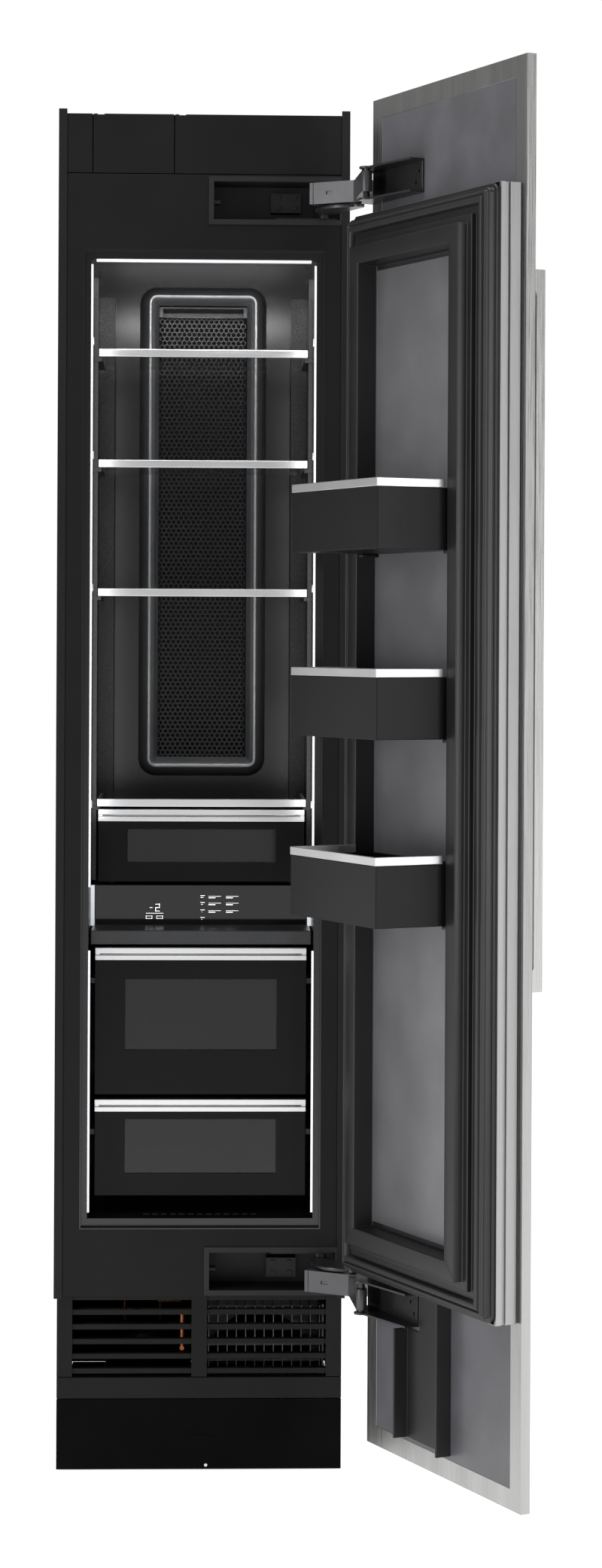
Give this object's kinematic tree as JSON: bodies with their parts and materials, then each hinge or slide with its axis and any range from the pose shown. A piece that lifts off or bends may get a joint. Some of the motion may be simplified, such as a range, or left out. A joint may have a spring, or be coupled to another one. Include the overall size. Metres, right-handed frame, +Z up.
{
  "type": "column freezer",
  "caption": "Tall narrow built-in freezer column, door open on articulated hinges, with glass shelves, drawers, door bins, air tower and toe-kick grille.",
  "frame": {"origin": "middle of the toe-kick's front face, at floor level", "axes": "+X to the right seen from the front, +Y from the face to the back, +Z up"},
  "size_m": [0.7021, 1.1771, 2.11],
  "materials": {
    "casing": "satin",
    "foam": "matte",
    "liner": "gloss",
    "face": "satin",
    "pocket": "satin",
    "kick": "matte",
    "base_metal": "satin",
    "compressor_black": "satin",
    "condenser_metal": "satin",
    "copper": "satin",
    "tower_steel": "satin",
    "lattice": "gloss",
    "led": "matte",
    "track": "gloss",
    "control_grey": "satin",
    "black_glass": "gloss",
    "inlet": "matte",
    "fan": "matte",
    "roller": "matte",
    "leg_steel": "satin",
    "shelf_glass": "gloss",
    "bright_trim": "satin",
    "drawer_dark": "gloss",
    "window": "gloss",
    "door_steel": "satin",
    "door_liner": "satin",
    "gasket": "matte",
    "panel_back": "satin",
    "panel_steel": "satin",
    "handle_steel": "satin",
    "profile": "matte",
    "hinge_black": "satin",
    "hinge_cover": "satin",
    "bin_smoke": "gloss"
  },
  "bodies": {
    "cabinet": {"outer_shell": "casing", "insulation": "foam", "inner_liner": "liner", "face_frame": "face", "top_covers": "face", "hinge_pockets": "pocket", "grille": "face", "lower_strip": "face", "kick_plate": "kick", "base_tray": "base_metal", "compressor": "compressor_black", "condenser": "condenser_metal", "refrigerant_pipes": "copper", "air_cover": "tower_steel", "air_lattice": "lattice", "led_strips": "led", "shelf_tracks": "track", "control_housing": "control_grey", "control_glass": "black_glass", "power_inlet": "inlet"},
    "condenser_fan": {"condenser_fan": "fan"},
    "evaporator_fan": {"evaporator_fan": "fan"},
    "rear_rollers": {"rear_rollers": "roller"},
    "leg_left": {"leg_left": "leg_steel"},
    "leg_right": {"leg_right": "leg_steel"},
    "shelf_1": {"shelf_1_glass": "shelf_glass", "shelf_1_trim": "bright_trim"},
    "shelf_2": {"shelf_2_glass": "shelf_glass", "shelf_2_trim": "bright_trim"},
    "shelf_3": {"shelf_3_glass": "shelf_glass", "shelf_3_trim": "bright_trim"},
    "shelf_4": {"shelf_4_glass": "shelf_glass", "shelf_4_trim": "bright_trim"},
    "drawer_1": {"drawer_1_tub": "drawer_dark", "drawer_1_rail": "bright_trim", "drawer_1_window": "window"},
    "drawer_2": {"drawer_2_tub": "drawer_dark", "drawer_2_rail": "bright_trim", "drawer_2_window": "window"},
    "drawer_3": {"drawer_3_tub": "drawer_dark", "drawer_3_rail": "bright_trim", "drawer_3_window": "window"},
    "upper_link": {"upper_hinge_link": "hinge_black"},
    "upper_arm": {"upper_hinge_arm": "hinge_cover"},
    "door": {"door_case": "door_steel", "door_liner": "door_liner", "door_gasket": "gasket", "panel_back": "panel_back", "door_panel": "panel_steel", "door_handle": "handle_steel", "fixing_profile": "profile", "door_brackets": "hinge_black"},
    "bin_1": {"bin_1_tub": "bin_smoke", "bin_1_rim": "bright_trim"},
    "bin_2": {"bin_2_tub": "bin_smoke", "bin_2_rim": "bright_trim"},
    "bin_3": {"bin_3_tub": "bin_smoke", "bin_3_rim": "bright_trim"},
    "lower_link": {"lower_hinge_link": "hinge_black"},
    "lower_arm": {"lower_hinge_arm": "hinge_cover"}
  },
  "joints": [
    {"name": "upper_link_pivot", "type": "hinge", "parent": "cabinet", "child": "upper_link", "pos_m": [0.187, 0, 1.9533], "axis": [0, 0, 1], "range_deg": [-113.92, 0]},
    {"name": "upper_arm_pivot", "type": "hinge", "parent": "upper_link", "child": "upper_arm", "pos_m": [0.234, -0.098, 1.9703], "axis": [0, 0, 1], "range_deg": [0, 181.19]},
    {"name": "door_pivot", "type": "hinge", "parent": "upper_arm", "child": "door", "pos_m": [0.24088, -0.20695, 1.9703], "axis": [0, 0, 1], "range_deg": [-182.26, 0]},
    {"name": "lower_link_pivot", "type": "hinge", "parent": "cabinet", "child": "lower_link", "pos_m": [0.187, 0, 0.329], "axis": [0, 0, 1], "range_deg": [-113.92, 0]},
    {"name": "lower_arm_pivot", "type": "hinge", "parent": "lower_link", "child": "lower_arm", "pos_m": [0.234, -0.098, 0.312], "axis": [0, 0, 1], "range_deg": [0, 181.19]},
    {"name": "shelf_1_slide", "type": "slide", "parent": "cabinet", "child": "shelf_1", "axis": [0, -1, 0], "range_m": [0, 0.15]},
    {"name": "shelf_2_slide", "type": "slide", "parent": "cabinet", "child": "shelf_2", "axis": [0, -1, 0], "range_m": [0, 0.15]},
    {"name": "shelf_3_slide", "type": "slide", "parent": "cabinet", "child": "shelf_3", "axis": [0, -1, 0], "range_m": [0, 0.15]},
    {"name": "shelf_4_slide", "type": "slide", "parent": "cabinet", "child": "shelf_4", "axis": [0, -1, 0], "range_m": [0, 0.15]},
    {"name": "drawer_1_slide", "type": "slide", "parent": "cabinet", "child": "drawer_1", "axis": [0, -1, 0], "range_m": [0, 0.22]},
    {"name": "drawer_2_slide", "type": "slide", "parent": "cabinet", "child": "drawer_2", "axis": [0, -1, 0], "range_m": [0, 0.3]},
    {"name": "drawer_3_slide", "type": "slide", "parent": "cabinet", "child": "drawer_3", "axis": [0, -1, 0], "range_m": [0, 0.3]},
    {"name": "bin_1_lift", "type": "slide", "parent": "door", "child": "bin_1", "axis": [0, 0, 1], "range_m": [0, 0.05]},
    {"name": "bin_2_lift", "type": "slide", "parent": "door", "child": "bin_2", "axis": [0, 0, 1], "range_m": [0, 0.05]},
    {"name": "bin_3_lift", "type": "slide", "parent": "door", "child": "bin_3", "axis": [0, 0, 1], "range_m": [0, 0.05]},
    {"name": "condenser_fan_spin", "type": "hinge", "parent": "cabinet", "child": "condenser_fan", "pos_m": [0.095, 0.138, 0.138], "axis": [0, 1, 0], "continuous": true},
    {"name": "evaporator_fan_spin", "type": "hinge", "parent": "cabinet", "child": "evaporator_fan", "pos_m": [0, 0.511, 1.78], "axis": [0, 1, 0], "continuous": true},
    {"name": "rear_roller_spin", "type": "hinge", "parent": "cabinet", "child": "rear_rollers", "pos_m": [0, 0.56, 0.02], "axis": [1, 0, 0], "continuous": true},
    {"name": "leg_left_screw", "type": "slide", "parent": "cabinet", "child": "leg_left", "axis": [0, 0, -1], "range_m": [0, 0.02]},
    {"name": "leg_right_screw", "type": "slide", "parent": "cabinet", "child": "leg_right", "axis": [0, 0, -1], "range_m": [0, 0.02]}
  ],
  "couplings": [
    {"joint": "upper_link_pivot", "follows": "door_pivot", "ratio": 0.62501},
    {"joint": "upper_arm_pivot", "follows": "door_pivot", "ratio": -0.99405},
    {"joint": "lower_link_pivot", "follows": "door_pivot", "ratio": 0.62501},
    {"joint": "lower_arm_pivot", "follows": "door_pivot", "ratio": -0.99405}
  ]
}
